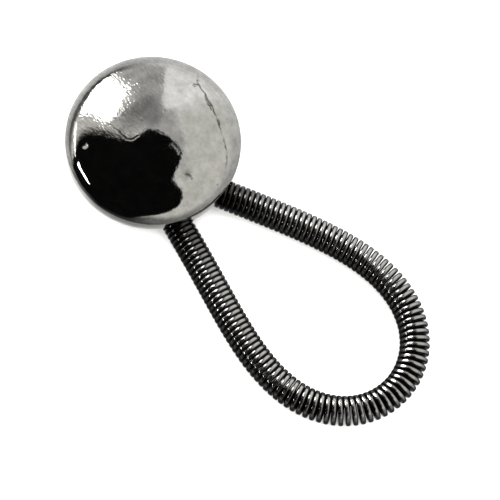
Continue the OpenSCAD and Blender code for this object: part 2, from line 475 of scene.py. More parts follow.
def dome_shell_mesh(size):
    """The dome shell as one closed surface of revolution with its relief pressed in.

    The profile is turned round Z in columns that lie closer together on the side with the crack.
    On the dome each point is moved inwards, square to the ellipse, by the relief's depth there.
    """
    profile, dome_rows = shell_outline(size)
    rings, poles = revolve(profile, DOME_COLUMNS, DOME_CROWD, math.radians(CROWD_TOWARDS))
    outer = rings[: dome_rows - 1]
    step = np.gradient(profile[:dome_rows], axis=0)[1:]
    square = np.stack([-step[:, 1], step[:, 0]], axis=-1) / np.linalg.norm(step, axis=1)[:, None]
    x, y = outer[..., 0], outer[..., 1]
    plan = np.maximum(np.hypot(x, y), 1e-9)
    calm = soft_step(np.clip((size.radius / MM - plan) / CALM_BAND, 0, 1))
    depth = dome_relief(x, y, size) * calm
    upwards = np.repeat(square[:, 1:], x.shape[1], axis=1)
    normal = np.stack([square[:, :1] * x / plan, square[:, :1] * y / plan, upwards], axis=-1)
    # How dark each point is painted: the crack and the hair line as a painted reflection of a dark
    # edge, and the spots.
    dark_share = np.zeros(rings.shape[:2])
    dark_share[: dome_rows - 1] = dark_mark_share(x, y, size)
    outer -= normal * depth[..., None]
    poles[0, 2] -= float(dome_relief(np.zeros(1), np.zeros(1), size)[0])
    points, quads, triangles = close_rings(rings, poles)
    mesh = fill_mesh("dome_shell", points * MM, quads, triangles)
    keep_attribute(mesh, "crack", "FLOAT", np.concatenate([dark_share.ravel(), [0, 0]]))
    return mesh


# Where the bars that cut the leg holes begin and end, in millimetres from the coil's end, and
# the points round them.
BAR_FROM, BAR_TO, BAR_SIDES = -1.0, 5.0, 96


def leg_bar_mesh(station, heading, lean, radius, name):
    """A closed round bar along the end of a leg: a circle carried 6 mm along a straight line."""
    along = np.array([math.cos(heading), math.sin(heading), lean])
    along /= np.linalg.norm(along)
    side = np.array([-math.sin(heading), math.cos(heading), 0])
    up = np.cross(along, side)
    turn = np.linspace(0, 2 * np.pi, BAR_SIDES, endpoint=False)
    ring = radius * (np.cos(turn)[:, None] * side + np.sin(turn)[:, None] * up)
    ends = station + np.array([[BAR_FROM], [BAR_TO]]) * along
    points, quads, triangles = close_rings(ends[:, None, :] + ring, ends)
    return fill_mesh(name, points * MM, quads[:, ::-1], triangles[:, ::-1])


def cut_holes(piece, cutters):
    """Cuts each cutter out of a piece and leaves the result in its mesh."""
    for cutter in cutters:
        cut = piece.modifiers.new("Leg hole", "BOOLEAN")
        cut.operation = "DIFFERENCE"
        cut.solver = "MANIFOLD"
        cut.object = cutter
    bpy.context.view_layer.update()
    graph = bpy.context.evaluated_depsgraph_get()
    result = bpy.data.meshes.new_from_object(piece.evaluated_get(graph))
    if len(result.polygons) <= len(piece.data.polygons) // 2:
        raise RuntimeError("the leg holes were not cut")
    piece.modifiers.clear()
    old = piece.data
    piece.data = result
    result.name = old.name + "_cut"
    bpy.data.meshes.remove(old)
    for cutter in cutters:
        mesh = cutter.data
        bpy.data.objects.remove(cutter)
        bpy.data.meshes.remove(mesh)


# The back plate

# Radius that eases its rim, the radius of its shallow dish, the width of the dish's soft step
# and its depth, in millimetres, and the points round the plate.
PLATE_EASE, DISH_RADIUS, DISH_STEP, DISH_DEPTH, PLATE_COLUMNS = 0.06, 2.2, 0.35, 0.05, 240
# Points across the dish, across its step, and round each eased edge.
DISH_STEPS, STEP_STEPS, RIM_STEPS = 6, 9, 5


def back_plate_mesh(size):
    """The back plate as a closed disc with a shallow dish pressed into its middle.

    Its profile goes from the top's centre, over the dish's soft step, round the eased rim and
    back along the underside, and is turned round Z.
    """
    z, sheet = size.sheet / MM + size.seat / MM, size.sheet / MM
    rim = (size.radius - size.corner) / MM - PLATE_EASE
    across = np.linspace(0, DISH_RADIUS, DISH_STEPS)
    step = np.linspace(DISH_RADIUS, DISH_RADIUS + DISH_STEP, STEP_STEPS)[1:]
    radius = np.concatenate([across, step])
    lift = DISH_DEPTH * (1 - soft_step(np.clip((radius - DISH_RADIUS) / DISH_STEP, 0, 1)))
    top = np.stack([radius, z + sheet + lift], axis=-1)
    under = np.stack([radius, z + lift], axis=-1)
    upper_edge = arc(rim, z + sheet - PLATE_EASE, PLATE_EASE, 90, 0, RIM_STEPS)
    lower_edge = arc(rim, z + PLATE_EASE, PLATE_EASE, 0, -90, RIM_STEPS)
    profile = np.concatenate([top, upper_edge, lower_edge, under[::-1]])
    rings, poles = revolve(profile, PLATE_COLUMNS)
    points, quads, triangles = close_rings(rings, poles)
    return fill_mesh("back_plate_disc", points * MM, quads, triangles)


# The spring

# Step along the coil's centre line, in millimetres, with which its heading is summed up.
ROUTE_STEP = 0.002
# Edges sharper than this many degrees stay sharp on the wire.
WIRE_SHARP_FROM = 60
# How much of the crests' brightness is left close to the button, where the painted shade is
# deepest.
BRIGHT_LEFT = 0.12


def loop_route(size):
    """The coil's centre line and the winding's phase along it, in millimetres and radians.

    The bend, one over the radius, is full at the far end and fades with exp(-(|u|/length)^power)
    on both sides; the first leg also bows slightly outwards. The heading is the bend summed up
    along the line, and the position is the heading summed up. Turns lie a pitch apart on the
    inside of a bend, so the phase is (u - winding radius x heading turned) / pitch, in turns.
    """
    wind = (size.coil - size.wire) / MM
    start, end = round(size.first_leg / MM / ROUTE_STEP), round(size.second_leg / MM / ROUTE_STEP)
    u = np.arange(-start, end + 1) * ROUTE_STEP
    fade = np.exp(-((np.abs(u) / (size.bend_length / MM)) ** size.bend_power))
    bend = fade / (size.bend / MM) - np.where(u < 0, (1 - fade) / (size.bow / MM), 0)

    def summed(values):
        total = np.concatenate([[0], np.cumsum((values[1:] + values[:-1]) / 2) * ROUTE_STEP])
        return total - total[start]

    turned = summed(bend)
    heading = np.pi / 2 + turned
    x = size.reach / MM + summed(np.cos(heading))
    y = size.far_side / MM + summed(np.sin(heading))
    lean = (size.height_in - size.coil) / (size.reach - size.inner_end)
    z = size.height_in / MM - lean * (x - size.inner_end / MM)
    phase = (u - wind * turned) / (size.pitch / MM)
    return x, y, z, heading, phase, lean


def spring_mesh(size):
    """The wire as a circle with a worn crest, carried along a helix round the coil's centre line.

    At winding angle w = 180 degrees + 360 x phase, the wire's centre lies at the line's centre
    + winding radius x (cos w x side + sin w x up), and the section's points at
    + wire radius x (cos a x outwards + sin a x along). Within the crest's half width s0 they
    are held down to edge + (s0^2 - s^2) / (2 x crown), a flatter arc through the same two edges.
    """
    x, y, z, heading, phase, _ = loop_route(size)
    steps, sides = size.turn_steps, size.sides
    first, last = math.ceil(phase[0] * steps), math.floor(phase[-1] * steps)
    turns = np.arange(first, last + 1) / steps
    *line, heading = [np.interp(turns, phase, values) for values in (x, y, z, heading)]
    centre = np.stack(line, axis=-1)
    along = np.stack([np.cos(heading), np.sin(heading), 0 * heading], axis=-1)
    side = np.stack([-np.sin(heading), np.cos(heading), 0 * heading], axis=-1)
    winding = np.pi + 2 * np.pi * turns
    out = np.cos(winding)[:, None] * side + np.sin(winding)[:, None] * np.array([0, 0, 1.0])

    wire, crown, half = size.wire / MM, size.crown / MM, size.crown_half / MM
    a = np.linspace(0, 2 * np.pi, sides, endpoint=False)
    rise, reach = np.cos(a), wire * np.sin(a)
    edge = math.sqrt(wire**2 - half**2)
    section = np.minimum(wire * rise, edge + (half**2 - reach**2) / (2 * crown))
    wind = (size.coil - size.inset) / MM - section.max()
    along, out = along[:, None, :], out[:, None, :]
    outwards = out * (wind + section)[None, :, None]
    rings = centre[:, None, :] + outwards + along * reach[None, :, None]
    ends = np.stack([rings[0].mean(axis=0), rings[-1].mean(axis=0)])
    points, quads, triangles = close_rings(rings, ends)
    mesh = fill_mesh("spring_wire", points * MM, quads[:, ::-1], triangles[:, ::-1])

    # How near a point is to the crest, how much painted light its turn takes (lit on the coil's
    # top, painted shade on its flanks, its underside and close to the button), the direction round
    # the section there, and its place as measured along the wire and round it.
    across = along * rise[None, :, None] - out * np.sin(a)[None, :, None]
    across = np.concatenate([across.reshape(-1, 3), [[0, 0, 1], [0, 0, 1]]])
    # Painted light and shade: the coil's top is painted bright, its flanks and underside dark, and
    # the turns close to the button dark as well.
    lift = (np.sin(winding) - size.dark_to) / (size.bright_from - size.dark_to)
    away = (np.hypot(centre[:, 0], centre[:, 1]) * MM - size.shade_from) / size.shade_length
    lift, away = soft_step(np.clip(lift, 0, 1)), soft_step(np.clip(away, 0, 1))
    painted_light = lift * (BRIGHT_LEFT + (1 - BRIGHT_LEFT) * away)
    run = np.repeat(2 * np.pi * wind * turns, sides)
    drawn = np.stack([run, np.tile(wire * rise, len(turns)), np.tile(reach, len(turns))], axis=-1)
    shares = {"crest": np.tile(rise, len(turns)), "painted_light": np.repeat(painted_light, sides)}
    for name, values in shares.items():
        keep_attribute(mesh, name, "FLOAT", np.concatenate([values, [0, 0]]))
    keep_attribute(mesh, "across", "FLOAT_VECTOR", across)
    keep_attribute(mesh, "drawn", "FLOAT_VECTOR", np.concatenate([drawn, np.zeros((2, 3))]) * MM)
    return mesh


# Materials


def add_node(tree, kind, inputs=None, **settings):
    """Adds a shader node with its settings, and sets or links each input by name or number.

    An input that is given as a node is linked to that node's first output. By number, a Map
    Range takes the ends of its first range as 1 and 2 and of its second as 3 and 4, and a Mix
    takes its share as 0 and what it mixes as 2 and 3, or as 6 and 7 where it mixes colours.
    """
    node = tree.nodes.new("ShaderNode" + kind)
    for key, value in settings.items():
        setattr(node, key, value)
    for key, value in (inputs or {}).items():
        if isinstance(value, bpy.types.Node):
            value = value.outputs[0]
        if isinstance(value, bpy.types.NodeSocket):
            tree.links.new(value, node.inputs[key])
        else:
            node.inputs[key].default_value = value
    return node


def start_material(name):
    """A new material with an empty node tree, and add_node held ready for that tree."""
    material = bpy.data.materials.new(name)
    material.use_nodes = True
    material.node_tree.nodes.clear()
    return material, partial(add_node, material.node_tree)


def solid(colour_setting):
    """A colour setting with its alpha, as a colour socket takes it."""
    return (*colour_setting, 1)


def polished_nickel_plate(finishes):
    """Nickel plate on pressed brass, polished by hand and worn.

    It gives a hard dark mirror with crisp reflections, and fine strokes of the polishing cloth
    along one direction that fray their edges. A few shallow pits catch the light.
    """
    material, node = start_material("polished_nickel_plate")
    place = node("TexCoord").outputs["Object"]
    # Strokes of the cloth, 0.12 mm wide and about 0.4 mm long, run nearly along the loop.
    turned = node("VectorRotate", {"Vector": place, "Angle": math.radians(7)})
    drawn_out = node("Mapping", {"Vector": turned, "Scale": (2600, 8200, 2600)})
    strokes = node("TexNoise", {"Vector": drawn_out, "Scale": 1, "Detail": 3, "Roughness": 0.55})
    # A few, 0.09 mm wide and 0.26 mm long, are cut deeper and catch the window as short dashes.
    drawn_out = node("Mapping", {"Vector": turned, "Scale": (3900, 11500, 3900)})
    deep = node("TexNoise", {"Vector": drawn_out, "Scale": 1, "Detail": 1, "Roughness": 0.5})
    cuts = node("MapRange", {"Value": deep, 1: 0.5, 2: 0.8}, interpolation_type="SMOOTHSTEP")
    # Shallow pits 0.3 mm apart.
    pits = node("TexNoise", {"Vector": place, "Scale": 3300, "Detail": 2, "Roughness": 0.5})
    # Cloudy patches 2 mm across where the polish is duller.
    clouds = node("TexNoise", {"Vector": place, "Scale": 500, "Detail": 3})
    haze = node("MapRange", {"Value": clouds, 1: 0.35, 2: 0.7, 3: 0.025, 4: 0.06})
    # The cloth bore harder on the side away from the loop, and most on one half of it.
    aslant = node("VectorMath", {0: place, 1: (1, 0.46, 0)}, operation="DOT_PRODUCT")
    aslant = aslant.outputs["Value"]
    inward = node("MapRange", {"Value": aslant, 1: -0.0016, 2: -0.0007, 3: 1, 4: 0})
    behind = node("VectorMath", {0: place, 1: (-0.5, 1, 0)}, operation="DOT_PRODUCT")
    half = node("MapRange", {"Value": behind.outputs["Value"], 1: -0.0027, 2: 0.0005})
    pressure = node("Math", {0: inward, 1: half}, operation="MULTIPLY")
    # Light strokes are left everywhere, a little stronger on that side.
    along = node("SeparateXYZ", {0: place})
    light = node("MapRange", {"Value": along, 1: -0.002, 2: -0.0008, 3: 0.45, 4: 0.1})
    force = node("Math", {0: pressure, 1: 0.6, 2: light}, operation="MULTIPLY_ADD")
    # The strokes are 0.008 mm deep at most, and the cuts and the pits 0.003 mm.
    bump = node("Bump", {"Height": strokes, "Strength": force, "Distance": 0.000008})
    bump = node(
        "Bump", {"Height": cuts, "Normal": bump, "Strength": pressure, "Distance": 0.000003}
    )
    bump = node("Bump", {"Height": pits, "Normal": bump, "Strength": 1, "Distance": 0.000003})
    # The plating is a little cloudy, in patches 0.7 mm across with finer ones in them.
    patches = node("TexNoise", {"Vector": place, "Scale": 1500, "Detail": 4, "Roughness": 0.75})
    cloudy = node("MapRange", {"Value": patches, 1: 0.34, 2: 0.66})
    # On the side that the cloth bore on, they are drawn out into strokes.
    streaks = node("MapRange", {"Value": strokes, 1: 0.4, 2: 0.6})
    drawn = node("MapRange", {"Value": aslant, 1: -0.0012, 2: 0.0006, 3: 0.45, 4: 0})
    cloudy = node("Mix", {0: drawn, 2: cloudy, 3: streaks})
    dull, bright = solid(finishes.nickel_dull), solid(finishes.nickel)
    plate = node("Mix", {0: cloudy, 6: dull, 7: bright}, data_type="RGBA").outputs[2]
    # The crack, the hair line and the spots are painted dark and a little rougher: along the lines
    # this is a painted reflection of a dark edge, and in the other spots it is tarnish.
    crack = node("Attribute", attribute_name="crack").outputs["Fac"]
    tint = node("Mix", {0: crack, 6: plate, 7: solid(finishes.tarnish_and_dark_reflection)}, data_type="RGBA")
    gloss = node("Math", {0: crack, 1: 0.3, 2: haze}, operation="MULTIPLY_ADD")
    surface = {"Base Color": tint.outputs[2], "Metallic": 1, "Roughness": gloss, "Normal": bump}
    node("OutputMaterial", {"Surface": node("BsdfPrincipled", surface)})
    return material


def satin_nickel(finishes):
    """Nickel plate over a turned back plate, left satin.

    Fine concentric turning marks 0.12 mm apart give a soft, streaked gloss.
    """
    material, node = start_material("satin_nickel_turned")
    place = node("TexCoord").outputs["Object"]
    parts = node("SeparateXYZ", {0: place})
    flat = node("CombineXYZ", {0: parts.outputs[0], 1: parts.outputs[1]})
    radius = node("VectorMath", {0: flat}, operation="LENGTH").outputs["Value"]
    ring_place = node("CombineXYZ", {0: radius})
    rings = node("TexNoise", {"Vector": ring_place, "Scale": 8300, "Detail": 4})
    gloss = node("MapRange", {"Value": rings, 1: 0.3, 2: 0.7, 3: 0.26, 4: 0.42})
    bump = node("Bump", {"Height": rings, "Strength": 1, "Distance": 0.000004})
    tint = solid(finishes.satin)
    surface = {"Base Color": tint, "Metallic": 1, "Roughness": gloss, "Normal": bump}
    node("OutputMaterial", {"Surface": node("BsdfPrincipled", surface)})
    return material


def drawn_spring_steel(finishes):
    """Hard-drawn steel spring wire.

    The crests of the turns are bright steel, and the wire's dark oxide lies between them, darkened
    there further as painted shade. Painted light and shade lie over that: the coil's top is painted
    bright, and its flanks, its underside and the turns close to the button are painted dark. The
    die's lines run along the wire and spread its highlights across it, so the gloss is wider
    across the wire than along it.
    """
    material, node = start_material("drawn_spring_steel")
    crest = node("Attribute", attribute_name="crest").outputs["Fac"]
    painted_light = node("Attribute", attribute_name="painted_light").outputs["Fac"]
    across = node("Attribute", attribute_name="across").outputs["Vector"]
    drawn = node("Attribute", attribute_name="drawn").outputs["Vector"]
    # Worn patches 1 mm long along the wire and 0.15 mm across it.
    wear_place = node("Mapping", {"Vector": drawn, "Scale": (900, 6600, 6600)})
    wear = node("TexNoise", {"Vector": wear_place, "Scale": 1, "Detail": 1})
    worn = node("MapRange", {"Value": wear, 1: 0.3, 2: 0.7, 3: 0.86, 4: 1})
    # From the crest down each wire's sides the colour turns from steel to oxide: the wire's own
    # oxide, and painted shade in the gaps between the turns.
    rubbed = node("MapRange", {"Value": crest, 1: 0.68, 2: 0.98}, interpolation_type="SMOOTHSTEP")
    # The crests' share of painted light: lit on the coil's top, in painted shade on its flanks and
    # close to the button.
    painted_crest_light = node("Math", {0: rubbed, 1: painted_light}, operation="MULTIPLY")
    bright = node("Math", {0: painted_crest_light, 1: worn}, operation="MULTIPLY")
    # The dark colour is oxide and painted shade.
    film_and_shade, steel = solid(finishes.oxide_and_shade), solid(finishes.steel)
    tint = node("Mix", {0: bright, 6: film_and_shade, 7: steel}, data_type="RGBA").outputs[2]
    gloss = node("MapRange", {"Value": wear, 1: 0.3, 2: 0.7, 3: 0.2, 4: 0.22})
    surface = {"Base Color": tint, "Metallic": 1, "Roughness": gloss}
    surface |= {"Anisotropic": 0.85, "Tangent": across}
    node("OutputMaterial", {"Surface": node("BsdfPrincipled", surface)})
    return material


def machined_brass(finishes):
    """Free-cutting brass, milled: a warm half gloss with straight tool marks 0.2 mm apart."""
    material, node = start_material("machined_brass")
    place = node("TexCoord").outputs["Object"]
    marks_place = node("Mapping", {"Vector": place, "Scale": (900, 400, 5000)})
    marks = node("TexNoise", {"Vector": marks_place, "Scale": 1, "Detail": 3})
    gloss = node("MapRange", {"Value": marks, 1: 0.3, 2: 0.7, 3: 0.24, 4: 0.4})
    bump = node("Bump", {"Height": marks, "Strength": 1, "Distance": 0.000006})
    tint = solid(finishes.brass)
    surface = {"Base Color": tint, "Metallic": 1, "Roughness": gloss, "Normal": bump}
    node("OutputMaterial", {"Surface": node("BsdfPrincipled", surface)})
    return material


def pale_card(finishes):
    """Smooth pale card: a flat matt white with the faintest mottle, 20 mm across."""
    material, node = start_material("pale_card")
    place = node("TexCoord").outputs["Object"]
    mottle = node("TexNoise", {"Vector": place, "Scale": 50, "Detail": 2})
    shade = node("MapRange", {"Value": mottle, 1: 0.3, 2: 0.7, 3: 0.97, 4: 1})
    shaded = {0: 1, 6: solid(finishes.floor), 7: shade}
    tint = node("Mix", shaded, data_type="RGBA", blend_type="MULTIPLY").outputs[2]
    shader = node("BsdfPrincipled", {"Base Color": tint, "Roughness": 0.7})
    node("OutputMaterial", {"Surface": shader})
    return material


def studio_card(name, strength, mottle):
    """A lit or black studio card with a soft edge.

    It glows at the given strength times the mesh's own "tone", mottled by a share of it, and
    fades out with the mesh's own "fade". The mottle is 36 mm across.
    """
    material, node = start_material(name)
    fade = node("Attribute", attribute_name="fade").outputs["Fac"]
    tone = node("Attribute", attribute_name="tone").outputs["Fac"]
    place = node("TexCoord").outputs["Object"]
    cloud = node("TexNoise", {"Vector": place, "Scale": 28, "Detail": 4})
    low, high = strength * (1 - mottle), strength * (1 + mottle)
    glow = node("MapRange", {"Value": cloud, 1: 0.3, 2: 0.7, 3: low, 4: high})
    shaded = node("Math", {0: glow, 1: tone}, operation="MULTIPLY")
    light = node("Emission", {"Strength": shaded})
    mixed = node("MixShader", {0: fade, 1: node("BsdfTransparent"), 2: light})
    node("OutputMaterial", {"Surface": mixed})
    return material


# The studio

# Each card is an outline as seen from the button, in degrees from straight overhead: x along the
# loop and y across it, 90 being the horizon. After the outline come its strength, its mottle, the
# width of its soft edge in degrees, as one number or one for each corner, and how far in front of
# the others it stands, from 0 to 1.
CARDS = {
    "camera_drape": (
        [
            (-14, 13), (-8, 17), (0, 19), (8, 18.6), (13, 15.5), (17.5, 7), (22.5, 1), (37, -1),
            (51, -12), (53, -32), (45, -52), (36, -80), (0, -91), (-30, -90), (-56, -74),
            (-62, -46), (-60, -23), (-41, -6), (-18, 3.5),
        ],
        0.004, 0.3,
        [1.2, 1.2, 1.2, 1.2, 1.2, 1.5, 1.5, 2, 2.5, 3, 3, 6, 2, 2, 3, 10, 12, 9, 3], 0.5,
    ),
    "drape_fold": (
        [(1, 15.8), (4, 17.1), (7.5, 16.9), (10, 15.2), (7.5, 15.5), (4.5, 15.9)],
        0.6, 0.3, 0.4, 0.7,
    ),
    "window": (
        [
            (-75, 27.5), (-65, 24.5), (-54, 22), (-43, 19), (-40, 14), (-37.5, 8.5), (-35, 3.5),
            (-39, 0), (-51, -0.5), (-59, -3.5), (-67, -9.5), (-72, -9), (-74, 1), (-77, 12),
            (-77, 21),
        ],
        17.0, 0.1, 0.9, 0.3,
    ),
    "strip_left": (
        [(-72.2, -22.5), (-71.2, -22), (-62.2, -35), (-53.7, -50), (-54.2, -50.4), (-63.2, -36.4)],
        8.0, 0.4, 0.4, 0.8,
    ),
    "strip_right": (
        [(-46, -54.4), (-42.5, -54.6), (-25, -62.4), (-25.2, -63.6), (-44, -57.2)],
        22.0, 0.3, 0.4, 0.8,
    ),
    "grey_screen": (
        [
            (-34, 4), (-36, 22), (-52, 30), (-70, 37), (-78, 42), (-72, 52), (-58, 64), (-50, 66),
            (-30, 56), (-19, 42), (-8, 33), (6, 25), (16, 18), (22, 9), (12, 12), (0, 14),
            (-12, 10), (-20, 2),
        ],
        0.52, 0.3, [4, 3, 4, 4, 4, 4, 4, 4, 4, 5, 8, 10, 10, 6, 4, 3, 3, 3], 0.1,
    ),
    "dark_screen": (
        [(-35, 5), (-37, 22), (-33, 36), (-21, 35), (-7, 24), (-12, 12), (-22, 2)],
        0.26, 0.4, 11.0, 0.15,
    ),
    "pale_panel": (
        [
            (-16, 27), (-28, 40), (-39, 54), (-54, 78), (-38, 91), (-10, 91), (10, 84), (10, 60),
            (-2, 37),
        ],
        1.11, 0.1, [6, 1.4, 1.2, 3, 3, 16, 28, 30, 22], 0.2,
    ),
}
# How much nearer than the furthest card the nearest one stands, and how far off the backdrop
# stands, as shares of the card distance.
FRONT_SHARE, BACKDROP_SHARE = 0.2, 0.93

# The low backdrop all round: direction in degrees, tone, and the elevations at which it begins to
# fade and has faded out.
BACKDROP = [
    (-180, 0.12, 11, 15), (-165, 0.12, 9, 14), (-150, 0.14, 4, 16), (-135, 0.24, 0, 8),
    (-120, 0.04, 2, 12), (-75, 0.02, 8, 16), (-60, 0.05, 10, 30), (-45, 0.17, 16, 34),
    (-30, 0.21, 4, 26), (-15, 0.27, 4, 24), (0, 0.34, 4, 24), (15, 0.44, 4, 20),
    (30, 0.47, 4, 24), (45, 0.54, 4, 24), (60, 0.62, 4, 24), (90, 0.88, 2, 20),
    (120, 0.95, 2, 12), (135, 0.62, 8, 14), (150, 0.16, 6, 13), (165, 0.06, 6, 11),
]
# Its lowest and highest elevation in degrees, and its rows.
BACKDROP_LOW, BACKDROP_HIGH, BACKDROP_ROWS = -0.6, 34, 70

# The floor as the button mirrors it: direction in degrees, tone close to the button, tone far
# out, and the distance in millimetres over which one turns into the other.
GROUND = [
    (-180, 1.5, 0.60, 10), (-150, 1.2, 0.45, 9), (-135, 0.75, 0.60, 9), (-120, 0.70, 0.20, 7),
    (-90, 0.50, 0.01, 1.2), (-60, 0.50, 0.06, 1.2), (-30, 0.60, 0.20, 1.5), (0, 0.50, 0.32, 4),
    (30, 0.50, 0.46, 4), (60, 0.90, 0.64, 4), (90, 1.0, 0.82, 5), (120, 1.0, 0.80, 5),
    (150, 1.1, 0.45, 9),
]
# In millimetres: where its fine rings end and its coarse ones, its height over the floor, and the
# width of its soft inner edge. Then its rings, and the middle and half sizes of the loop's shade.
GROUND_FINE_TO, GROUND_TO, GROUND_HEIGHT, GROUND_EDGE = 30, 400, 0.02, 0.5
GROUND_FINE_RINGS, GROUND_RINGS = 80, 16
LOOP_MIDDLE, LOOP_LONG, LOOP_WIDE = 16, 8, 6

# Directions in the backdrop and in the ground card.
AROUND = 240
# Points round a card, rows over its soft edge and over its middle, the most that its edge may
# take up, as a share, and the furthest from overhead that it reaches, in degrees.
CARD_SIDES, CARD_EDGE_ROWS, CARD_MIDDLE_ROWS, CARD_EDGE_MOST, CARD_LOWEST = 360, 9, 11, 0.8, 90.5
# The floor's half side and how far it falls away at the middle of a side, in metres, and the
# points along a side.
FLOOR_HALF, FLOOR_FALL, FLOOR_POINTS = 1.5, 0.0005, 41


def round_table(table, turn):
    """Values of a table at the given directions in degrees, the last row joined to the first."""
    rows = np.array(table, float)
    rows = np.vstack([rows, rows[:1] + np.array([360] + [0] * (rows.shape[1] - 1))])
    turn = (turn + 180) % 360 - 180
    return [np.interp(turn, rows[:, 0], rows[:, k]) for k in range(1, rows.shape[1])]


def smooth_outline(corners, total):
    """A smooth closed curve through the given corners.

    Between two corners it is the cubic through them whose slope at each corner is half the step
    from the corner before to the corner after.
    """
    p = np.asarray(corners, float)
    t = np.linspace(0, len(p), total, endpoint=False)
    i, f = np.floor(t).astype(int), (t % 1)[:, None]
    a, b, c, d = (p[(i + k) % len(p)] for k in (-1, 0, 1, 2))
    return b + 0.5 * f * (c - a + f * (2 * a - 5 * b + 4 * c - d + f * (3 * (b - c) + d - a)))


def keep_glow(mesh, fade, tone):
    """Stores the fade and the tone of each point of a card, and gives the mesh back."""
    keep_attribute(mesh, "fade", "FLOAT", fade)
    keep_attribute(mesh, "tone", "FLOAT", tone)
    return mesh


def card_mesh(name, corners, edge, distance, height):
    """A card bent to a sphere round the button, in rings that shrink from its outline inwards.

    A point of the plan (x, y) in degrees lies at angle = its length from overhead, in the
    direction of (x, y). Fade is 1 inside and falls to 0 over the soft edge, as wide in degrees as
    its corners say where there is room for it.
    """
    outline = smooth_outline(corners, CARD_SIDES)
    middle = outline.mean(axis=0)
    reach = np.linalg.norm(outline - middle, axis=1)
    edges = smooth_outline(np.broadcast_to(edge, len(corners))[:, None], len(outline))[:, 0]
    soft = np.clip(edges / reach, 0, CARD_EDGE_MOST)
    inside = np.linspace(0, 1, CARD_MIDDLE_ROWS)[1:-1]
    ease = np.concatenate([np.linspace(0, 1, CARD_EDGE_ROWS), np.ones(len(inside))])
    deep = np.concatenate([np.zeros(CARD_EDGE_ROWS), inside])
    share = 1 - ease[:, None] * soft - deep[:, None] * (1 - soft)
    plan = middle + share[..., None] * (outline - middle)
    plan = np.concatenate([plan.reshape(-1, 2), [middle]])
    tilt = np.radians(np.minimum(np.linalg.norm(plan, axis=1), CARD_LOWEST))
    turn = np.arctan2(plan[:, 1], plan[:, 0])
    points = sphere_points(distance, turn, np.pi / 2 - tilt, height)
    rows, columns = share.shape
    a = np.arange(columns)
    last = (rows - 1) * columns
    fan = np.stack([last + a, last + (a + 1) % columns, np.full(columns, rows * columns)], axis=-1)
    mesh = fill_mesh(name, points, grid_quads(rows, columns), fan)
    fade = np.concatenate([np.repeat(soft_step(ease), columns), [1]])
    return keep_glow(mesh, fade, np.ones(len(fade)))


def backdrop_mesh(name, distance, height):
    """The low backdrop: a band of a sphere round the button, from just under the horizon upwards.

    Its tone is read off the backdrop's table by direction, and its fade falls from 1 to 0 between
    the two elevations that the table gives.
    """
    turn = np.linspace(-180, 180, AROUND, endpoint=False)
    rise = np.linspace(BACKDROP_LOW, BACKDROP_HIGH, BACKDROP_ROWS)
    tone, full, gone = round_table(BACKDROP, turn)
    fall = np.clip((gone - rise[:, None]) / (gone - full), 0, 1)
    turn, rise = np.meshgrid(np.radians(turn), np.radians(rise), indexing="xy")
    points = sphere_points(distance, turn, rise, height)
    mesh = fill_mesh(name, points.reshape(-1, 3), grid_quads(*turn.shape))
    return keep_glow(mesh, soft_step(fall), np.broadcast_to(tone, turn.shape))


def ground_card_mesh(name, studio):
    """A ring on the floor round the button, whose tone changes with direction and distance.

    The tone goes from the table's near value to its far value with exp(-distance/fall), and is
    darker inside the loop, by shade x exp(-(((x - middle)/long)^2 + (y/wide)^2)^2).
    """
    start = studio.ground_from / MM
    turn = np.linspace(-180, 180, AROUND, endpoint=False)
    near, far, fall = round_table(GROUND, turn)
    fine = np.linspace(start, GROUND_FINE_TO, GROUND_FINE_RINGS)
    coarse = np.geomspace(GROUND_FINE_TO, GROUND_TO, GROUND_RINGS)[1:]
    radius = np.concatenate([fine, coarse])
    distance = (radius - start)[:, None]
    tone = far + (near - far) * np.exp(-distance / fall)
    x = radius[:, None] * np.cos(np.radians(turn))
    y = radius[:, None] * np.sin(np.radians(turn))
    inside = np.exp(-((((x - LOOP_MIDDLE) / LOOP_LONG) ** 2 + (y / LOOP_WIDE) ** 2) ** 2))
    tone = tone * (1 - studio.loop_shade * inside)
    points = np.stack([x, y, np.full(x.shape, GROUND_HEIGHT)], axis=-1) * MM
    mesh = fill_mesh(name, points.reshape(-1, 3), grid_quads(*x.shape))
    fade = np.broadcast_to(np.clip(distance / GROUND_EDGE, 0, 1), x.shape)
    return keep_glow(mesh, fade, tone)


def floor_mesh():
    """A pale floor: a square grid, very slightly domed down towards its far edges."""
    line = np.linspace(-FLOOR_HALF, FLOOR_HALF, FLOOR_POINTS)
    x, y = np.meshgrid(line, line, indexing="ij")
    z = -FLOOR_FALL * (np.hypot(x, y) / FLOOR_HALF) ** 2
    points = np.stack([x, y, z], axis=-1).reshape(-1, 3)
    quads = grid_quads(FLOOR_POINTS, FLOOR_POINTS, closed=False)
    return fill_mesh("floor", points, quads[:, ::-1])


def aim_camera(studio):
    """Puts the camera at its distance and direction from the aim point, rolled about its axis."""
    azimuth, elevation, roll = studio.azimuth, studio.elevation, studio.roll
    flat = math.cos(elevation)
    back = np.array([flat * math.cos(azimuth), flat * math.sin(azimuth), math.sin(elevation)])
    right = np.cross([0, 0, 1], back)
    right /= np.linalg.norm(right)
    up = np.cross(back, right)
    pose = np.eye(4)
    pose[:3, 0] = math.cos(roll) * right + math.sin(roll) * up
    pose[:3, 1] = -math.sin(roll) * right + math.cos(roll) * up
    pose[:3, 2] = back
    pose[:3, 3] = np.array([studio.aim_x, studio.aim_y, studio.aim_z]) + studio.distance * back
    data = bpy.data.cameras.new("camera")
    data.sensor_fit = "HORIZONTAL"
    data.sensor_width = 36
    data.lens = studio.focal
    data.clip_start = 0.01
    data.clip_end = 10
    camera = bpy.data.objects.new("camera", data)
    bpy.context.scene.collection.objects.link(camera)
    camera.matrix_world = Matrix(pose.tolist())
    bpy.context.scene.camera = camera


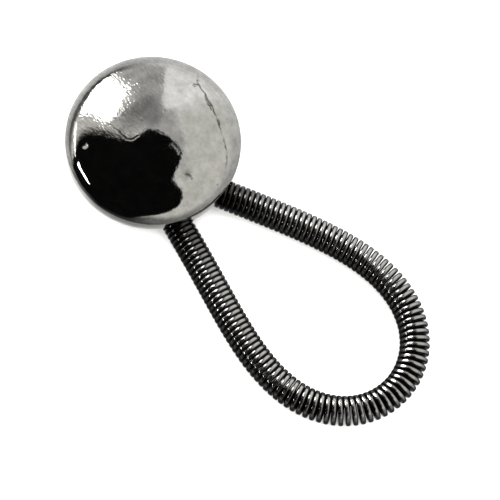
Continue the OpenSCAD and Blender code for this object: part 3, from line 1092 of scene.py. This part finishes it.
def light_room(studio, finishes):
    """A pale room all round, as the world's background, and a softbox overhead for the floor."""
    world = bpy.data.worlds.new("room")
    world.use_nodes = True
    world.node_tree.nodes.clear()
    glow = {"Color": solid(finishes.room), "Strength": studio.room_light}
    background = add_node(world.node_tree, "Background", glow)
    add_node(world.node_tree, "OutputWorld", {"Surface": background})
    bpy.context.scene.world = world
    softbox = bpy.data.lights.new("softbox", "AREA")
    softbox.shape = "SQUARE"
    softbox.size = studio.floor_light_size
    softbox.energy = studio.floor_light
    lamp = bpy.data.objects.new("softbox", softbox)
    bpy.context.scene.collection.objects.link(lamp)
    lamp.location = (0, 0, studio.floor_light_height)
    lamp.visible_glossy = False
    lamp.visible_camera = False


# Operators


class EXTENDER_OT_dome_shell(bpy.types.Operator):
    """Make the polished dome shell with its two leg holes"""

    bl_idname = "extender.dome_shell"
    bl_label = "Dome Shell"

    def execute(self, context):
        scene = context.scene
        size = scene.extender_button
        nickel = polished_nickel_plate(scene.extender_finishes)
        shell = add_piece("dome_shell", dome_shell_mesh(size), nickel)
        x, y, z, heading, _, lean = loop_route(scene.extender_spring)
        cutters = []
        for end, turn in ((0, 0.0), (-1, math.pi)):
            station, outward = np.array([x[end], y[end], z[end]]), heading[end] + turn
            slope = -lean * math.cos(outward)
            mesh = leg_bar_mesh(station, outward, slope, size.hole / MM, "leg_bar")
            cutter = bpy.data.objects.new("leg_bar", mesh)
            scene.collection.objects.link(cutter)
            cutters.append(cutter)
        cut_holes(shell, cutters)
        smooth_shading(shell, SHARP_FROM)
        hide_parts("front_cap")
        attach(shell, "root")
        return {"FINISHED"}


class EXTENDER_OT_back_plate(bpy.types.Operator):
    """Make the satin back plate"""

    bl_idname = "extender.back_plate"
    bl_label = "Back Plate"

    def execute(self, context):
        scene = context.scene
        satin = satin_nickel(scene.extender_finishes)
        plate = add_piece("back_plate_disc", back_plate_mesh(scene.extender_button), satin)
        smooth_shading(plate, SHARP_FROM)
        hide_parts("back_plate")
        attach(plate, "root")
        return {"FINISHED"}


class EXTENDER_OT_spring_wire(bpy.types.Operator):
    """Make the close-wound spring wire of the loop"""

    bl_idname = "extender.spring_wire"
    bl_label = "Spring Wire"

    def execute(self, context):
        scene = context.scene
        steel = drawn_spring_steel(scene.extender_finishes)
        wire = add_piece("spring_wire", spring_mesh(scene.extender_spring), steel)
        smooth_shading(wire, WIRE_SHARP_FROM)
        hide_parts("spring_loop")
        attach(wire, "root")
        return {"FINISHED"}


class EXTENDER_OT_end_block(bpy.types.Operator):
    """Give the hidden block that holds the spring's ends its brass"""

    bl_idname = "extender.end_block"
    bl_label = "End Block"

    def execute(self, context):
        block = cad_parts["end_block"]
        brass = machined_brass(context.scene.extender_finishes)
        for slot in block.material_slots:
            slot.material = brass
        return {"FINISHED"}


class EXTENDER_OT_studio(bpy.types.Operator):
    """Set up the pale floor, the light, the cards that the metal mirrors and the camera"""

    bl_idname = "extender.studio"
    bl_label = "Studio"

    def execute(self, context):
        scene = context.scene
        studio, finishes = scene.extender_studio, scene.extender_finishes
        floor = add_piece("floor", floor_mesh(), pale_card(finishes))
        height = scene.extender_button.wall_top
        cards = []
        for name, (corners, strength, mottle, edge, front) in CARDS.items():
            distance = studio.tent * (1 - FRONT_SHARE * front)
            mesh = card_mesh(name, corners, edge, distance, height)
            cards.append(add_piece(name, mesh, studio_card(name, strength, mottle)))
        mesh = backdrop_mesh("backdrop", studio.tent * BACKDROP_SHARE, height)
        cards.append(add_piece("backdrop", mesh, studio_card("backdrop", 1, mottle=0.15)))
        mesh = ground_card_mesh("ground_card", studio)
        cards.append(add_piece("ground_card", mesh, studio_card("ground_card", 1, mottle=0.1)))
        for card in cards:
            for ray in ("camera", "diffuse", "transmission", "volume_scatter", "shadow"):
                setattr(card, "visible_" + ray, False)
        light_room(studio, finishes)
        aim_camera(studio)
        scene.view_settings.view_transform = "Standard"
        return {"FINISHED"}


class EXTENDER_PT_panel(bpy.types.Panel):
    """Lists the steps that make the collar extender"""

    bl_label = "Collar Extender"
    bl_idname = "EXTENDER_PT_panel"
    bl_space_type = "VIEW_3D"
    bl_region_type = "UI"
    bl_category = "Collar Extender"

    def draw(self, context):
        for step in STEPS:
            self.layout.operator(step.bl_idname)


STEPS = (
    EXTENDER_OT_dome_shell,
    EXTENDER_OT_back_plate,
    EXTENDER_OT_spring_wire,
    EXTENDER_OT_end_block,
    EXTENDER_OT_studio,
)
GROUPS = {
    "extender_button": ButtonSizes,
    "extender_spring": SpringSizes,
    "extender_finishes": Finishes,
    "extender_studio": StudioSettings,
}


def register():
    """Registers the settings, operators and panel."""
    for name, group in GROUPS.items():
        bpy.utils.register_class(group)
        setattr(bpy.types.Scene, name, bpy.props.PointerProperty(type=group))
    for item in (*STEPS, EXTENDER_PT_panel):
        bpy.utils.register_class(item)


def unregister():
    """Takes the settings, operators and panel away again."""
    for item in (EXTENDER_PT_panel, *reversed(STEPS)):
        bpy.utils.unregister_class(item)
    for name, group in reversed(GROUPS.items()):
        delattr(bpy.types.Scene, name)
        bpy.utils.unregister_class(group)


def main():
    register()
    bpy.ops.extender.dome_shell()
    bpy.ops.extender.back_plate()
    bpy.ops.extender.spring_wire()
    bpy.ops.extender.end_block()
    bpy.ops.extender.studio()


if __name__ == "__main__":
    main()
